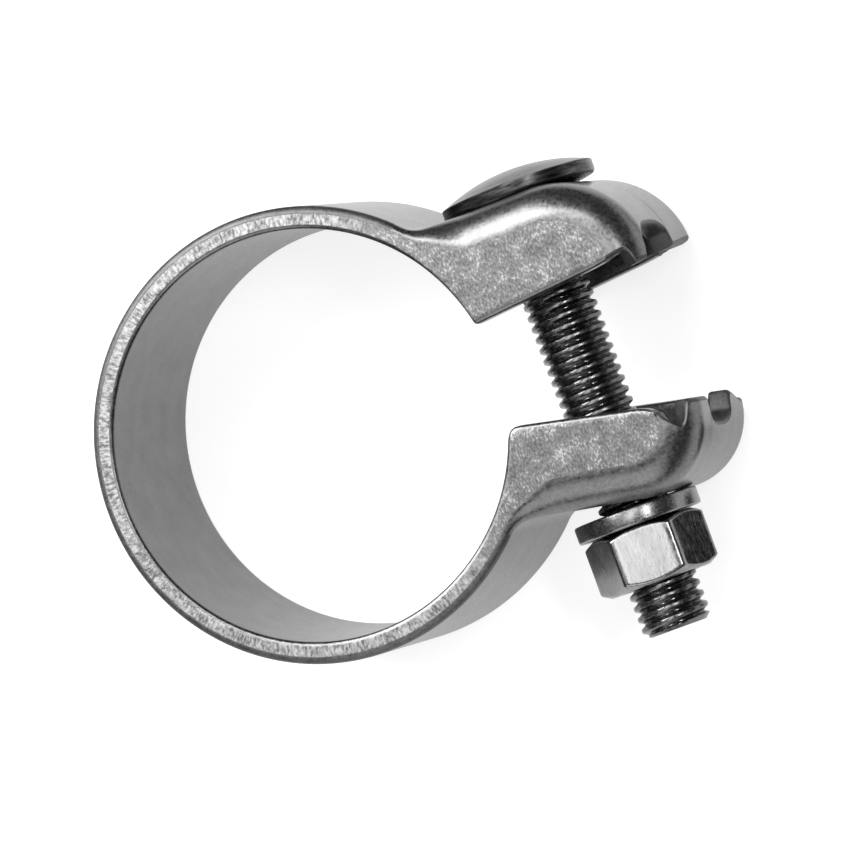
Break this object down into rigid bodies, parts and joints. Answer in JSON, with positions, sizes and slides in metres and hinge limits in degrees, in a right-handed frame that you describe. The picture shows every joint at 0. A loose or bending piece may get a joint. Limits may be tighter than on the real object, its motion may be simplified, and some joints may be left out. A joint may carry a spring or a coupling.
{
  "type": "exhaust clamp",
  "caption": "Steel band clamp with two pressed channel ears drawn together by a bolt, lock washer and nut, to grip a pipe joint.",
  "frame": {"origin": "on the ring's axis, midway between the band's two edges", "axes": "+Z along the ring's axis, +X towards the ears and square to the bolt, +Y along the bolt towards its head"},
  "size_m": [0.0673, 0.0584, 0.025],
  "materials": {
    "band_zinc": "zinc plated, satin",
    "bolt_steel": "dark plated steel",
    "washer_steel": "plated spring steel",
    "nut_zinc": "zinc plated"
  },
  "bodies": {
    "clamp": {"clamp_band": "band_zinc", "bolt": "bolt_steel"},
    "washer": {"lock_washer": "washer_steel"},
    "nut": {"hex_nut": "nut_zinc"}
  },
  "joints": [
    {"name": "washer_slide", "type": "slide", "parent": "clamp", "child": "washer", "axis": [0, -1, 0], "range_m": [0, 0.01126]},
    {"name": "nut_turn", "type": "hinge", "parent": "washer", "child": "nut", "pos_m": [0.02835, -0.0247, 0], "axis": [0, -1, 0], "range_deg": [0, 3240]}
  ],
  "couplings": [
    {"joint": "washer_slide", "follows": "nut_turn", "m_per_rad": 0.00019894}
  ]
}
